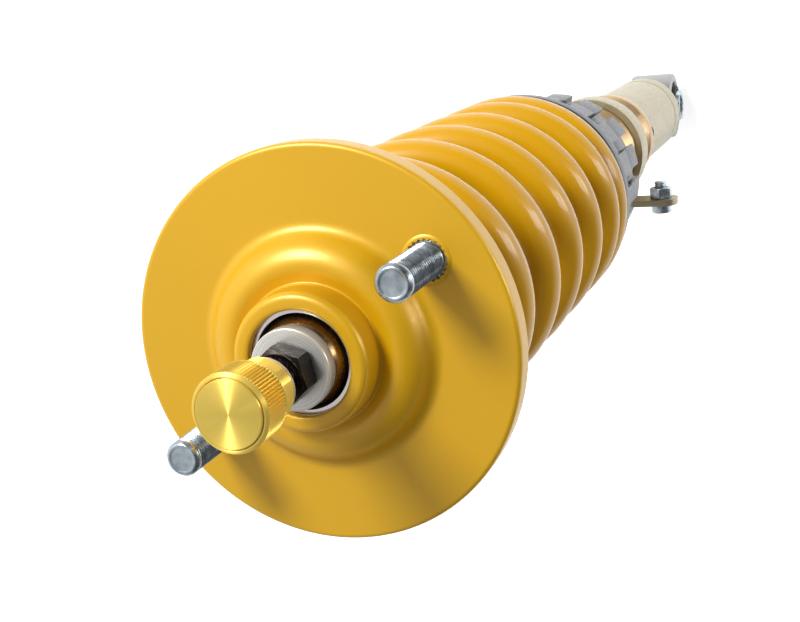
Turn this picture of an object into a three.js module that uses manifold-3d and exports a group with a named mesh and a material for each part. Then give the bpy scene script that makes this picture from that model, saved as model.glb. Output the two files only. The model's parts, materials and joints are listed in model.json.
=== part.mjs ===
// Coilover: an adjustable spring and damper unit for a car's suspension, in millimetres.
// +Z runs up the damper's axis, out of the top mount. z = 0 is the upper face of the mounting plate,
// which bolts against the car body. +X is the axis of the eye at the lower end.
import * as THREE from 'three';
import { mergeVertices } from 'three/addons/utils/BufferGeometryUtils.js';
import Module from 'manifold-3d';

const wasm = await Module();
wasm.setup();

// ---------- driving dimensions ----------
const fit = 0.3; // gap between pieces that fit into or rest on each other
const sides = { fine: 40, round: 24, small: 16 }; // of turned pieces, large to small
const past = 1; // how far a cutting shape runs past the face that it cuts

const bearing = { z: 7, ballR: 12.9, ballHalf: 8.7, linerThick: 0.7, linerHalf: 4, raceWall: 2.8,
  raceHalf: 5.5 };
const plate = { r: 55, wall: 4, edgeR: 2.5, rimDrop: 7, rimWall: 3.5, rimFillet: 1.5, hubWall: 3.2,
  shoulder: 3, shoulderZ: 8.6, slope: 7.5, valleyZ: 9.5, lipZ: 15, shelf: 1.5 };
const circlip = { thick: 1.2, bite: 1, section: 1.5, gap: 7 };
const stud = { inset: 15.5, angle: 36, r: 5, length: 25, tip: 1.2, neck: 0.6, neckTop: 1.1, head: 2.5,
  headH: 2.2 };
const rod = { topR: 5, shoulder: 2, boreR: 2.2, tailR: 4, tailOut: 2.2, tip: 1 };
const washer = { r: 11, thick: 4 };
const nut = { acrossFlats: 14, height: 7.2, chamfer: 0.8, turn: 12 };
const housing = { lift: 7, height: 7.5, r: 8.4, flat: 0.4, grip: 5.5 };
const knob = { gap: 0.4, height: 11.6, r: 10, faceStep: 1.3, faceH: 0.9, bevel: 1.2, foot: 0.6, recess: 3,
  recessR: 5, roof: 3 };
const needle = { r: 1.8, aboveTail: 42 };
const spacer = { length: 12.7, r: 9.5 };
const seat = { thick: 3, bossDrop: 7, bossWall: 6, clear: 0.5, hubR: 12, edge: 0.8 };
const thrust = { thick: 1, inset: 0.5 };
const spring = { meanR: 38.5, wireR: 6, pitch: 33, length: 187.4, phase: 36, closedGap: 0.4, ground: 0.6,
  stepsPerTurn: 16, sides: 8 };
const bumpStop = { r: 21, length: 40, waistR: 17.5, cup: 2, cupLip: 1 };
const damper = { stroke: 55, clear: 0.9 };
const body = { boreR: 18, wall: 3.8, length: 377, base: 10, bevel: 4 };
const gland = { flange: 3.2, depth: 6, boreGap: 1, sealWall: 4, sealDepth: 4.5, edge: 1, wiperProud: 1 };
const guide = { length: 15.7, ringUp: 5, ringGroove: 2.4, ringDepth: 1.6 };
const bumper = { wall: 5, length: 12.3 };
const piston = { length: 16, bandH: 7, bandDepth: 1.2, shimInset: 5, shim: 1.5, shimStep: 1.5,
  nutAcross: 13.5, nutH: 7 };
const separator = { below: 180, length: 16, dishR: 11, dish: 7, ringDepth: 1.8 };
const sleeve = { wall: 1.9, drop: 48, length: 214, ringH: 2.2, ringDepth: 1, ringInset: 0.8 };
const perch = { inset: 1, clear: 0.7, flange: 9, hubR: 38.5, height: 42, lip: 4, slotTop: 8 };
const ring = { step: 1, height: 21.5, slots: 16, slotDepth: 3.2, slotWidth: 5.5, slotPhase: 48, edge: 1 };
const bracket = { above: 45, width: 16, wall: 3, reach: 42, boltIn: 8 };
const bolt = { r: 3, headR: 5, headH: 4, edge: 1, past: 3, nutAcross: 9.9, nutH: 5 };
const eye = { drop: 35, boreR: 6.2, sleeveWall: 2.8, rubberWall: 5.5, wall: 5.5, half: 13, rubberProud: 1.5,
  sleeveProud: 4, neckR: 13, neckStep: 2, neckInset: 3, neckFlare: 8 };
const grub = { r: 2.5, below: 5.5, angle: 6, length: 2.6, depth: 1.9 };

// ---------- heights and radii that follow from them ----------
const linerInner = bearing.ballR + fit;
const linerOuter = linerInner + bearing.linerThick;
const race = { inner: linerOuter + fit, bottom: bearing.z - bearing.raceHalf,
  top: bearing.z + bearing.raceHalf };
race.r = race.inner + bearing.raceWall;
const ball = { bottom: bearing.z - bearing.ballHalf, top: bearing.z + bearing.ballHalf };
const clip = { top: race.bottom - fit };
clip.bottom = clip.top - circlip.thick;
const threadBore = rod.topR + fit;
const rodR = rod.topR + rod.shoulder;
const rodBore = rodR + fit;

const washerBottom = ball.top + fit;
const nutBottom = washerBottom + washer.thick + fit;
const nutTop = nutBottom + nut.height;
const housingBottom = nutTop + housing.lift;
const housingTop = housingBottom + housing.height;
const rodTop = housingBottom + housing.grip;
const knobBottom = housingTop + knob.gap;
const knobTop = knobBottom + knob.height;

const seatTop = ball.bottom - fit - spacer.length - fit;
const seatUnder = seatTop - seat.thick;
const seatBottom = seatUnder - seat.bossDrop;
const thrustTop = seatUnder - fit;
const thrustBottom = thrustTop - thrust.thick;
const springTop = thrustBottom - fit;
const springBottom = springTop - spring.length;
const springInner = spring.meanR - spring.wireR;
const springOuter = spring.meanR + spring.wireR;
const bossR = springInner - seat.clear;

const cupTop = seatBottom - fit;
const cupBottom = cupTop - bumpStop.cup;
const rubberTop = cupBottom - fit;
const rubberBottom = rubberTop - bumpStop.length;

const wiperTop = rubberBottom - damper.clear - damper.stroke;
const glandTop = wiperTop - gland.wiperProud;
const bodyTop = glandTop - gland.flange - fit;
const bodyBottom = bodyTop - body.length;
const bodyR = body.boreR + body.wall;
const pistonR = body.boreR - fit;
const sealR = rodR + gland.sealWall;
const guideTop = bodyTop - gland.depth - fit;
const guideBottom = guideTop - guide.length;
const pistonSeat = guideBottom - fit - bumper.length;
const upperShims = { top: pistonSeat - fit, bottom: pistonSeat - fit - piston.shim };
const pistonTop = upperShims.bottom - fit;
const pistonBottom = pistonTop - piston.length;
const lowerShims = { top: pistonBottom - fit, bottom: pistonBottom - fit - piston.shim };
const tailNut = { top: lowerShims.bottom - fit, bottom: lowerShims.bottom - fit - piston.nutH };
const rodBottom = tailNut.bottom - rod.tailOut;
const tailBore = rod.tailR + fit;
const separatorTop = rodBottom - separator.below;
const separatorBottom = separatorTop - separator.length;

const sleeveR = bodyR + fit + sleeve.wall;
const sleeveTop = bodyTop - sleeve.drop;
const sleeveBottom = sleeveTop - sleeve.length;
const sleeveRing = { top: sleeveBottom - fit, bottom: sleeveBottom - fit - sleeve.ringH };
const ringBore = sleeveR + fit;
const perchTop = springBottom - fit;
const perchBottom = perchTop - perch.height;
const ringTop = perchBottom - fit;
const ringBottom = ringTop - ring.height;
const ringR = perch.hubR - ring.step;
const bracketZ = sleeveBottom + bracket.above;
const strapY = -(ringBore + bracket.wall / 2);
const grubZ = sleeveRing.bottom - grub.below;
const eyeZ = bodyBottom - eye.drop;
const eyeSleeveR = eye.boreR + eye.sleeveWall;
const eyeRubberR = eyeSleeveR + eye.rubberWall;
const eyeR = eyeRubberR + eye.wall;

// ---------- helpers ----------
const { degToRad, radToDeg } = THREE.MathUtils;

function toSolid(geometry) {
  const g = geometry.clone();
  g.deleteAttribute('normal');
  if (g.attributes.uv) g.deleteAttribute('uv');
  const merged = mergeVertices(g, 1e-4);
  const vertProperties = new Float32Array(merged.attributes.position.array);
  const triVerts = new Uint32Array(merged.index.array);
  return new wasm.Manifold(new wasm.Mesh({ numProp: 3, vertProperties, triVerts }));
}

function toGeometry(solid) {
  const mesh = solid.getMesh();
  const g = new THREE.BufferGeometry();
  g.setAttribute('position', new THREE.BufferAttribute(new Float32Array(mesh.vertProperties), 3));
  g.setIndex(new THREE.BufferAttribute(new Uint32Array(mesh.triVerts), 1));
  return g;
}

function cut(base, ...tools) {
  return toGeometry(tools.reduce((solid, tool) => solid.subtract(toSolid(tool)), toSolid(base)));
}

function join(...pieces) {
  return toGeometry(pieces.map(toSolid).reduce((sum, piece) => sum.add(piece)));
}

function keep(base, tool) {
  return toGeometry(toSolid(base).intersect(toSolid(tool)));
}

// A turned piece. Its section is a list of [radius, z] points, anticlockwise; a hollow one closes on itself.
function turned(section, count) {
  const points = section.map(([r, z]) => new THREE.Vector2(r, z));
  if (section.every(([r]) => r > 0)) points.push(points[0].clone());
  return new THREE.LatheGeometry(points, count).rotateX(Math.PI / 2);
}

function tube(inner, outer, bottom, top, count = sides.round) {
  return turned([[inner, bottom], [outer, bottom], [outer, top], [inner, top]], count);
}

function solidRod(r, bottom, top, count = sides.small) {
  return turned([[0, bottom], [r, bottom], [r, top], [0, top]], count);
}

function boxAt(x, y, z, width, depth, height) {
  return new THREE.BoxGeometry(width, depth, height).translate(x, y, z);
}

function arc(cx, cz, r, from, to, count) {
  return Array.from({ length: count + 1 }, (_, i) => {
    const a = degToRad(from + (to - from) * i / count);
    return [cx + r * Math.cos(a), cz + r * Math.sin(a)];
  });
}

function hexPrism(acrossFlats, bottom, top) {
  const corner = acrossFlats / Math.sqrt(3);
  const prism = new THREE.CylinderGeometry(corner, corner, top - bottom, 6);
  return prism.rotateX(Math.PI / 2).translate(0, 0, (bottom + top) / 2);
}

function turnZ(geometry, degrees) {
  return geometry.rotateZ(degToRad(degrees));
}

// A turned piece whose axis is +Z becomes one whose axis is +X.
function alongX(geometry, z) {
  return geometry.rotateY(Math.PI / 2).translate(0, 0, z);
}

// A turned piece with one square groove round the middle of its outside.
function grooved(r, bore, bottom, top, grooveH, depth) {
  const low = (bottom + top - grooveH) / 2;
  const high = low + grooveH;
  return turned([
    [bore, bottom], [r, bottom], [r, low], [r - depth, low], [r - depth, high], [r, high], [r, top],
    [bore, top],
  ], sides.round);
}

// The ring that lies in such a groove.
function ringInGroove(r, bottom, top, grooveH, depth) {
  const low = (bottom + top - grooveH) / 2;
  return tube(r - depth + fit, r, low + fit, low + grooveH - fit);
}

const coilover = new THREE.Group();

function add(name, geometry, [color, roughness, metalness]) {
  const material = new THREE.MeshStandardMaterial({ color, roughness, metalness });
  const mesh = new THREE.Mesh(geometry, material);
  mesh.name = name;
  coilover.add(mesh);
}

const gold = [0xd9a520, 0.35, 0.6];
const yellow = [0xe8b805, 0.3, 0.1];
const brightGold = [0xf2cd60, 0.25, 0.9];
const zinc = [0xb9c0c6, 0.3, 0.9];
const steel = [0xc8c6c0, 0.3, 0.95];
const black = [0x1c1b1a, 0.4, 0.6];
const rubber = [0x202020, 0.8, 0.0];
const greyAlloy = [0x5c666f, 0.4, 0.7];
const beigeZinc = [0xc3b48c, 0.4, 0.7];
const silver = [0xb8b8b6, 0.4, 0.8];
const white = [0xe8e4da, 0.6, 0.0];
const bronze = [0xc9a24a, 0.35, 0.9];

// ---------- top mount ----------
// The plate: a flat disc with a turned-down rim, rising by a hump, a valley and a lip round the bearing.
function topPlate() {
  const p = plate;
  const bearingR = race.r + fit;
  const hubR = race.r + fit + p.hubWall;
  const hubBottom = clip.bottom - fit - p.shelf;
  const clipR = bearingR + circlip.bite;
  const shoulderR = hubR + p.shoulder;
  const humpFoot = shoulderR + p.slope;
  const rimInner = p.r - p.rimWall;
  const lipMid = (race.inner + race.r) / 2;
  const section = [
    [bearingR, hubBottom], [hubR, hubBottom], [hubR, 3 - p.wall], [shoulderR, 1 - p.wall],
    [humpFoot, -p.wall],
    [rimInner - p.rimFillet, -p.wall], [rimInner, -p.wall - p.rimFillet], [rimInner, -p.rimDrop],
    [p.r, -p.rimDrop],
    ...arc(p.r - p.edgeR, -p.edgeR, p.edgeR, 0, 90, 3),
    [humpFoot, 0], [humpFoot - 2, 1.1], [shoulderR + 2.5, p.shoulderZ - 3], [shoulderR, p.shoulderZ],
    [shoulderR - 1.6, p.valleyZ], [hubR, p.valleyZ], [race.r + 1.9, p.lipZ - 2.2],
    [race.r + 0.9, p.lipZ - 0.5],
    [lipMid + 1, p.lipZ], [race.inner + 0.9, p.lipZ - 0.4], [race.inner, p.lipZ - 1.3],
    [race.inner, race.top + fit], [bearingR, race.top + fit],
    [bearingR, clip.top + fit], [clipR, clip.top + fit], [clipR, clip.bottom - fit],
    [bearingR, clip.bottom - fit],
  ];
  const hole = solidRod(stud.r + stud.neck + fit, -p.rimDrop, p.shoulderZ);
  return cut(turned(section, sides.fine), atStud(hole.clone(), 0), atStud(hole, 180));
}

function atStud(geometry, turn) {
  return turnZ(geometry.translate(plate.r - stud.inset, 0, 0), stud.angle + turn);
}

// A stud pressed in from below: a flat head, a serrated neck and the thread above it.
function studShape() {
  const s = stud;
  const headTop = -plate.wall - fit;
  const neckR = s.r + s.neck;
  return turned([
    [0, headTop - s.headH], [s.r + s.head, headTop - s.headH], [s.r + s.head, headTop], [neckR, headTop],
    [neckR, s.neckTop], [s.r, s.neckTop + s.neck], [s.r, s.length - s.tip], [s.r - s.tip, s.length],
    [0, s.length],
  ], sides.small);
}

// A ring whose inside is part of a sphere, as the outer parts of a spherical bearing are.
function sphericalRing(innerR, outside, half) {
  const lift = radToDeg(Math.asin(half / innerR));
  return turned([...arc(0, bearing.z, innerR, lift, -lift, 5), ...outside], sides.round);
}

function bearingLiner() {
  const lift = radToDeg(Math.asin(bearing.linerHalf / linerOuter));
  return sphericalRing(linerInner, arc(0, bearing.z, linerOuter, -lift, lift, 4), bearing.linerHalf);
}

function bearingBall() {
  const lift = radToDeg(Math.asin(bearing.ballHalf / bearing.ballR));
  const outside = arc(0, bearing.z, bearing.ballR, -lift, lift, 7);
  return turned([[threadBore, ball.bottom], ...outside, [threadBore, ball.top]], sides.round);
}

function bearingCirclip() {
  const outer = race.r + circlip.bite;
  const gap = boxAt(-race.r, 0, clip.top, circlip.gap, circlip.gap, circlip.gap);
  return cut(tube(race.r - circlip.section, outer, clip.bottom, clip.top), gap);
}

add('top_plate', topPlate(), gold);
add('stud_a', atStud(studShape(), 0), zinc);
add('stud_b', atStud(studShape(), 180), zinc);
add('bearing_race', sphericalRing(race.inner, [[race.r, race.bottom], [race.r, race.top]],
  bearing.raceHalf), steel);
add('bearing_circlip', bearingCirclip(), black);
add('bearing_liner', bearingLiner(), black);
add('bearing_ball', bearingBall(), steel);

// ---------- on top of the rod ----------
function topNut() {
  const corner = nut.acrossFlats / Math.sqrt(3) + 0.1;
  const flat = nut.acrossFlats / 2;
  const chamfered = turned([
    [0, nutBottom], [flat, nutBottom], [corner, nutBottom + nut.chamfer], [corner, nutTop - nut.chamfer],
    [flat - 0.6, nutTop], [0, nutTop],
  ], sides.round);
  const blank = keep(hexPrism(nut.acrossFlats, nutBottom, nutTop), chamfered);
  return cut(blank, solidRod(threadBore, nutBottom - past, nutTop + past));
}

// The collar that the knob clicks round on: a hexagon with its corners turned off, on the rod's end.
function adjusterHousing() {
  const h = housing;
  const across = 2 * (h.r - h.flat);
  const round = solidRod(h.r, housingBottom, housingTop, sides.round);
  const rodHole = solidRod(threadBore, housingBottom - past, rodTop + fit);
  const needleHole = solidRod(needle.r + 2 * fit, rodTop, housingTop + past);
  return cut(keep(hexPrism(across, housingBottom, housingTop), round), rodHole, needleHole);
}

function adjusterKnob() {
  const k = knob;
  const bore = needle.r + fit;
  const faceR = k.r - k.faceStep;
  const roof = knobTop - k.roof;
  const recessTop = knobBottom + k.recess;
  return turned([
    [0, roof], [bore, roof], [bore, recessTop], [k.recessR, recessTop], [k.recessR, knobBottom],
    [k.r - k.foot, knobBottom], [k.r, knobBottom + k.foot], [k.r, knobTop - k.faceH - k.bevel],
    [faceR + 0.3, knobTop - 0.7], [faceR, knobTop - k.faceH], [faceR, knobTop], [0, knobTop],
  ], sides.round);
}

add('top_washer', tube(threadBore, washer.r, washerBottom, washerBottom + washer.thick), steel);
add('top_nut', turnZ(topNut(), nut.turn), black);
add('adjuster_housing', adjusterHousing(), brightGold);
add('adjuster_knob', adjusterKnob(), brightGold);
add('adjuster_needle', solidRod(needle.r, rodBottom + needle.aboveTail, knobTop - knob.roof - fit), steel);

// ---------- rod, upper spring seat and bump stop ----------
// The seat: a disc that the spring presses on, with a hollow boss in the spring's bore and a hub on the rod.
function upperSeat() {
  const s = seat;
  const bossInner = bossR - s.bossWall;
  return turned([
    [threadBore, seatBottom], [s.hubR, seatBottom], [s.hubR + 2, seatUnder], [bossInner - 1, seatUnder],
    [bossInner, seatBottom], [bossR - 1, seatBottom], [bossR, seatBottom + 1.5], [bossR, seatUnder],
    [springOuter, seatUnder], [springOuter, seatTop - s.edge], [springOuter - s.edge, seatTop],
    [threadBore, seatTop],
  ], sides.round);
}

// The rubber bump stop, with two waists where it folds; its shape is given from its lower end up.
function bumpStopShape() {
  const { r, waistR, length } = bumpStop;
  const up = (share) => rubberBottom + share * length;
  return turned([
    [rodBore, rubberBottom], [waistR - 4, rubberBottom], [waistR, up(1 / 8)], [waistR - 2.5, up(2 / 8)],
    [waistR + 2, up(4 / 9)], [waistR - 1, up(5 / 8)], [r, up(4 / 5)], [r, rubberTop], [rodBore, rubberTop],
  ], sides.small);
}

function pistonRod() {
  const r = rod;
  return turned([
    [r.boreR, rodBottom], [r.tailR, rodBottom], [r.tailR, pistonSeat], [rodR, pistonSeat], [rodR, rubberTop],
    [r.topR, rubberTop], [r.topR, rodTop - r.tip], [r.topR - r.tip, rodTop], [r.boreR, rodTop],
  ], sides.small);
}

add('lower_spacer', tube(threadBore, spacer.r, seatTop + fit, ball.bottom - fit, sides.small), zinc);
add('upper_spring_seat', upperSeat(), black);
add('thrust_washer', tube(bossR + fit, springOuter - thrust.inset, thrustBottom, thrustTop), white);
add('bump_stop_cup', tube(threadBore, bumpStop.r + bumpStop.cupLip, cupBottom, cupTop, sides.small), zinc);
add('bump_stop', bumpStopShape(), rubber);
add('piston_rod', pistonRod(), steel);

// ---------- piston and valving ----------
const shimR = body.boreR - piston.shimInset;
const tailNutShape = cut(hexPrism(piston.nutAcross, tailNut.bottom, tailNut.top),
  solidRod(tailBore, tailNut.bottom - past, tailNut.top + past));

add('rebound_bumper', tube(rodBore, rodR + bumper.wall, pistonSeat, guideBottom - fit, sides.small), rubber);
add('compression_shims', tube(tailBore, shimR, upperShims.bottom, upperShims.top, sides.small), steel);
add('piston', grooved(pistonR, tailBore, pistonBottom, pistonTop, piston.bandH, piston.bandDepth), silver);
add('piston_band', ringInGroove(pistonR, pistonBottom, pistonTop, piston.bandH, piston.bandDepth), bronze);
add('rebound_shims', tube(tailBore, shimR - piston.shimStep, lowerShims.bottom, lowerShims.top,
  sides.small), steel);
add('piston_nut', tailNutShape, black);

// ---------- damper body ----------
function grubAt(geometry) {
  return turnZ(geometry.rotateY(Math.PI / 2).translate(bodyR - grub.depth, 0, grubZ), grub.angle);
}

function damperBody() {
  const groove = bodyR - sleeve.ringDepth;
  const floor = bodyBottom + body.base;
  const shell = turned([
    [0, bodyBottom], [bodyR - body.bevel, bodyBottom], [bodyR, bodyBottom + body.bevel],
    [bodyR, sleeveRing.bottom - fit], [groove, sleeveRing.bottom - fit], [groove, sleeveRing.top + fit],
    [bodyR, sleeveRing.top + fit], [bodyR, bodyTop], [body.boreR, bodyTop], [body.boreR, floor], [0, floor],
  ], sides.round);
  return cut(shell, grubAt(solidRod(grub.r + fit, 0, grub.depth + past)));
}

function glandNut() {
  const g = gland;
  const bottom = bodyTop - g.depth;
  const flangeR = bodyR - fit;
  const sealSeat = glandTop - g.sealDepth;
  return turned([
    [rodR + g.boreGap, bottom], [pistonR, bottom], [pistonR, bodyTop + fit], [flangeR, bodyTop + fit],
    [flangeR, glandTop - g.edge], [flangeR - g.edge, glandTop], [sealR + fit, glandTop],
    [sealR + fit, sealSeat],
    [rodR + g.boreGap, sealSeat],
  ], sides.round);
}

function rodGuide() {
  const low = guideBottom + guide.ringUp - guide.ringGroove / 2;
  const high = low + guide.ringGroove;
  const grooveR = pistonR - guide.ringDepth;
  const sealSeat = guideTop - gland.sealDepth;
  return turned([
    [rodBore, guideBottom], [pistonR, guideBottom], [pistonR, low], [grooveR, low], [grooveR, high],
    [pistonR, high],
    [pistonR, guideTop], [sealR + fit, guideTop], [sealR + fit, sealSeat], [rodBore, sealSeat],
  ], sides.round);
}

function guideRing() {
  const low = guideBottom + guide.ringUp - guide.ringGroove / 2;
  return tube(pistonR - guide.ringDepth + fit, pistonR, low + fit, low + guide.ringGroove - fit);
}

function sleeveCirclip() {
  const inner = bodyR - sleeve.ringDepth + fit;
  const whole = tube(inner, sleeveR - sleeve.ringInset, sleeveRing.bottom, sleeveRing.top);
  return cut(whole, boxAt(-bodyR, 0, sleeveRing.top, circlip.gap, circlip.gap, circlip.gap));
}

add('damper_body', damperBody(), beigeZinc);
add('gland_nut', glandNut(), greyAlloy);
add('wiper_seal', tube(rodBore, sealR, glandTop - gland.sealDepth + fit, wiperTop, sides.small), rubber);
add('rod_seal', tube(rodBore, sealR, guideTop - gland.sealDepth + fit, guideTop - fit, sides.small), rubber);
add('rod_guide', rodGuide(), silver);
add('guide_o_ring', guideRing(), rubber);
add('threaded_sleeve', tube(bodyR + fit, sleeveR, sleeveBottom, sleeveTop), gold);
add('sleeve_circlip', sleeveCirclip(), black);
add('body_grub_screw', grubAt(solidRod(grub.r, fit, grub.length + fit)), black);

// ---------- gas chamber ----------
// The free piston between oil and gas: solid below, dished above.
function floatingPiston() {
  const s = separator;
  const low = (separatorTop + separatorBottom - guide.ringGroove) / 2;
  const high = low + guide.ringGroove;
  const grooveR = pistonR - s.ringDepth;
  const dishZ = separatorTop - s.dish;
  return turned([
    [0, separatorBottom], [pistonR, separatorBottom], [pistonR, low], [grooveR, low], [grooveR, high],
    [pistonR, high], [pistonR, separatorTop], [s.dishR, separatorTop], [s.dishR - 2, dishZ], [0, dishZ],
  ], sides.round);
}

add('floating_piston', floatingPiston(), silver);
add('floating_piston_o_ring',
  ringInGroove(pistonR, separatorBottom, separatorTop, guide.ringGroove, separator.ringDepth), rubber);

// ---------- lower eye ----------
function lowerEye() {
  const e = eye;
  const neckTop = bodyBottom - fit;
  const neck = turned([
    [0, eyeZ], [e.neckR, eyeZ], [e.neckR + e.neckStep, neckTop - e.neckFlare], [bodyR - e.neckInset, neckTop],
    [0, neckTop],
  ], sides.round);
  const barrel = alongX(solidRod(eyeR, -e.half, e.half, sides.round), eyeZ);
  const bore = alongX(solidRod(eyeRubberR + fit, -e.half - eyeR, e.half + eyeR, sides.round), eyeZ);
  return cut(join(barrel, neck), bore);
}

function eyeBush() {
  const inner = eyeSleeveR + fit;
  const outer = eye.half + eye.rubberProud;
  const nose = eyeRubberR - 2;
  return alongX(turned([
    [inner, -outer], [nose, -outer], [eyeRubberR, 1 - eye.half], [eyeRubberR, eye.half - 1], [nose, outer],
    [inner, outer],
  ], sides.small), eyeZ);
}

function eyeSleeve() {
  const half = eye.half + eye.sleeveProud;
  return alongX(tube(eye.boreR, eyeSleeveR, -half, half, sides.small), eyeZ);
}

add('lower_eye', lowerEye(), silver);
add('eye_bush', eyeBush(), rubber);
add('eye_sleeve', eyeSleeve(), zinc);

// ---------- spring and its perch ----------
const closedRise = 2 * spring.wireR + spring.closedGap; // of an end turn, which lies against the next
const groundLift = spring.wireR * spring.ground; // of the wire's centre above the end that is ground flat
const openTurns = (spring.length - 2 * groundLift - 2 * closedRise) / spring.pitch;
const turns = openTurns + 2;

// Height of the wire's centre, some turns up from the lower tip: a closed turn at each end, open ones between.
function wireHeight(t) {
  const low = springBottom + groundLift + closedRise * Math.min(t, 1);
  const open = Math.min(Math.max(t - 1, 0), openTurns) * spring.pitch;
  return low + open + Math.max(t - 1 - openTurns, 0) * closedRise;
}

class WirePath extends THREE.Curve {
  getPoint(share) {
    const t = share * turns;
    const blend = [-0.24, -0.12, 0, 0.12, 0.24]; // turns over which one pitch passes into the other
    const z = blend.reduce((sum, step) => sum + wireHeight(t + step), 0) / blend.length;
    const a = degToRad(spring.phase) + (t - 0.25) * 2 * Math.PI;
    return new THREE.Vector3(spring.meanR * Math.cos(a), spring.meanR * Math.sin(a), z);
  }
}

function coilSpring() {
  const s = spring;
  const outline = Array.from({ length: s.sides }, (_, i) => {
    const a = i / s.sides * 2 * Math.PI;
    return new THREE.Vector2(s.wireR * Math.cos(a), s.wireR * Math.sin(a));
  });
  const steps = Math.round(turns * s.stepsPerTurn);
  const wire = new THREE.ExtrudeGeometry(new THREE.Shape(outline), { steps, extrudePath: new WirePath() });
  return keep(wire, solidRod(springOuter + s.wireR, springBottom, springTop, sides.fine));
}

function slotted(shape, outerR, bottom, top) {
  const reach = 2 * ring.slotDepth;
  const slots = Array.from({ length: ring.slots }, (_, i) => {
    const slot = boxAt(outerR - ring.slotDepth + reach / 2, 0, (bottom + top) / 2, reach, ring.slotWidth,
      top - bottom);
    return turnZ(slot, ring.slotPhase + i * 360 / ring.slots);
  });
  return cut(shape, ...slots);
}

// The perch: a flange under the spring with a lip inside it, on a hub slotted for a hook spanner.
function springPerch() {
  const p = perch;
  const flangeR = springOuter - p.inset;
  const flangeBottom = perchTop - p.flange;
  const lipR = springInner - p.clear;
  const shape = turned([
    [ringBore, perchBottom], [p.hubR - 1, perchBottom], [p.hubR, perchBottom + 1], [p.hubR, flangeBottom],
    [flangeR - 1, flangeBottom + 1], [flangeR, flangeBottom + 3], [flangeR, perchTop], [lipR, perchTop],
    [lipR - 0.8, perchTop + p.lip], [ringBore, perchTop + p.lip],
  ], sides.fine);
  return slotted(shape, p.hubR, perchBottom - past, flangeBottom - p.slotTop);
}

function lockRing() {
  const e = ring.edge;
  const shape = turned([
    [ringBore, ringBottom], [ringR - e, ringBottom], [ringR, ringBottom + e], [ringR, ringTop - e],
    [ringR - e, ringTop],
    [ringBore, ringTop],
  ], sides.fine);
  return slotted(shape, ringR, ringBottom - past, ringTop + past);
}

add('coil_spring', coilSpring(), yellow);
add('spring_perch', springPerch(), greyAlloy);
add('perch_lock_ring', lockRing(), greyAlloy);

// ---------- bracket for the brake hose ----------
// Places a piece that was made along +Z at the bolt's place, pointing along -Y.
function atBolt(geometry) {
  return geometry.rotateX(Math.PI / 2).translate(bracket.reach - bracket.boltIn, strapY, bracketZ);
}

// A band round the sleeve with a flat strap that leaves it along +X.
function hoseBracket() {
  const b = bracket;
  const low = bracketZ - b.width / 2;
  const band = tube(ringBore, ringBore + b.wall, low, low + b.width);
  const strap = boxAt(b.reach / 2, strapY, bracketZ, b.reach, b.wall, b.width);
  const hole = atBolt(solidRod(bolt.r + fit, -b.wall, b.wall));
  return cut(join(band, cut(strap, solidRod(ringBore, low - past, low + b.width + past, sides.round))), hole);
}

function bracketBolt() {
  const b = bolt;
  const seatZ = bracket.wall / 2 + fit;
  const tip = -(seatZ + b.nutH + b.past);
  return atBolt(turned([
    [0, tip], [b.r, tip], [b.r, seatZ], [b.headR, seatZ], [b.headR, seatZ + b.headH - b.edge],
    [b.headR - b.edge, seatZ + b.headH], [0, seatZ + b.headH],
  ], sides.small));
}

function bracketNut() {
  const start = -(bracket.wall / 2 + fit);
  const end = start - bolt.nutH;
  return atBolt(cut(hexPrism(bolt.nutAcross, end, start), solidRod(bolt.r + fit, end - past, start + past)));
}

add('hose_bracket', hoseBracket(), beigeZinc);
add('hose_bracket_bolt', bracketBolt(), zinc);
add('hose_bracket_nut', bracketNut(), zinc);

export default coilover;
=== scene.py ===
"""Coilover: the finished surfaces, materials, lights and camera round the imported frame.

Pieces are made in millimetres and stored in metres, in the frame's own place. Radii and heights come
from the boxes of the CAD nodes; what the CAD leaves plain, such as threads and knurls, is sized below.
"""
import json
import math

import bmesh
import bpy
from mathutils import Matrix, Vector

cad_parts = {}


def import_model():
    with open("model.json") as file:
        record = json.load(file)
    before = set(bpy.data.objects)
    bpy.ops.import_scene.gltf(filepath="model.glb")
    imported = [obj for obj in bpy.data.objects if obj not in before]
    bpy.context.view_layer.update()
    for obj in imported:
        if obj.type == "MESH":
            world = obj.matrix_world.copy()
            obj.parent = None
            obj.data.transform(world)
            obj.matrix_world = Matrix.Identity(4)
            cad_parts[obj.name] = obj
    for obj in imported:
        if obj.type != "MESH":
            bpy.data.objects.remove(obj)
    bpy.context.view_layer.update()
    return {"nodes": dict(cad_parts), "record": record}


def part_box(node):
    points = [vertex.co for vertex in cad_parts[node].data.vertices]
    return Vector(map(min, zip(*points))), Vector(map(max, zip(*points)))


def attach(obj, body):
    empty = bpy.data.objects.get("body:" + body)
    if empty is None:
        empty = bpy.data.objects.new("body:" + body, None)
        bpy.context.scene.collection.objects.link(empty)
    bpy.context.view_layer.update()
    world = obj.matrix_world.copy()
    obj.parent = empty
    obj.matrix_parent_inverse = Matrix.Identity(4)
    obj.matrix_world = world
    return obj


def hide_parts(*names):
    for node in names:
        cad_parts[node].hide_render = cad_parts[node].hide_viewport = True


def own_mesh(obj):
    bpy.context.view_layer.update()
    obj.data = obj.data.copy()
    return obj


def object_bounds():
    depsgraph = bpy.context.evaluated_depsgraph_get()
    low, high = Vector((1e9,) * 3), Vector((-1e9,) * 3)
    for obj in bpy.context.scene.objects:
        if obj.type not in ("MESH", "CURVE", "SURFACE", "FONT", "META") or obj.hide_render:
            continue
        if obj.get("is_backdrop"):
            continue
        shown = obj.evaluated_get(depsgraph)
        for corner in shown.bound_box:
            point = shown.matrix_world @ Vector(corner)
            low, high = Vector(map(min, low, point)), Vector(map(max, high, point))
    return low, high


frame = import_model()

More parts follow.
